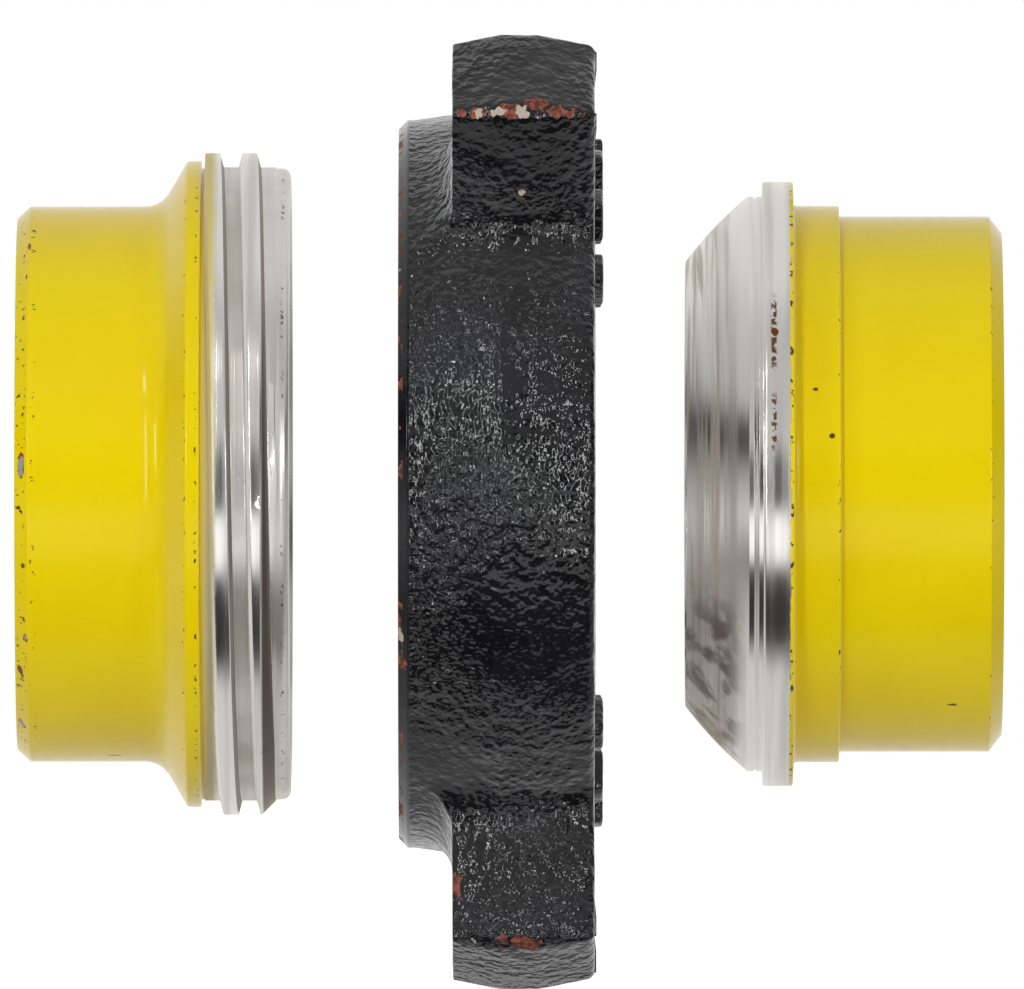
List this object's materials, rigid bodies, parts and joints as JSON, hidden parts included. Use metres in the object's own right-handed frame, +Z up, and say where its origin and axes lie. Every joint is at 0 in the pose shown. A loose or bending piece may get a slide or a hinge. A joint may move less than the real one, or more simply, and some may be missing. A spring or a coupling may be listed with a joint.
{
  "type": "hammer union",
  "caption": "Hammer union for a pumping line: a threaded sub with a conical seat, a ball-nosed sub and a lugged wing nut that draws them together, drawn pulled apart.",
  "frame": {"origin": "centre of the male sub's pipe end, on the axis of its pipe thread", "axes": "+X along the pipe axis, out of the male sub's pipe end; +Z up; the pieces follow each other along -X"},
  "size_m": [0.225, 0.2061, 0.2176],
  "materials": {
    "yellow_paint_and_steel": "gloss yellow paint on the shank, bare turned steel on collar, land and ball nose",
    "black_paint_on_forging": "gloss black paint over a rough forged skin, chipped and rusted on edges",
    "yellow_paint_and_machined_thread": "gloss yellow paint on barrel, cone and collar, bare turned steel on the thread"
  },
  "bodies": {
    "male_sub": {"male_sub": "yellow_paint_and_steel"},
    "wing_nut": {"wing_nut": "black_paint_on_forging"},
    "thread_sub": {"thread_sub": "yellow_paint_and_machined_thread"}
  },
  "joints": [
    {"name": "nut_turn", "type": "hinge", "parent": "male_sub", "child": "wing_nut", "pos_m": [-0.115, 0, 0], "axis": [-1, 0, 0], "range_deg": [0, 1900]},
    {"name": "thread_sub_feed", "type": "slide", "parent": "male_sub", "child": "thread_sub", "axis": [1, 0, 0], "range_m": [0, 0.0447]}
  ],
  "couplings": [
    {"joint": "thread_sub_feed", "follows": "nut_turn", "m_per_rad": 0.0013476}
  ]
}
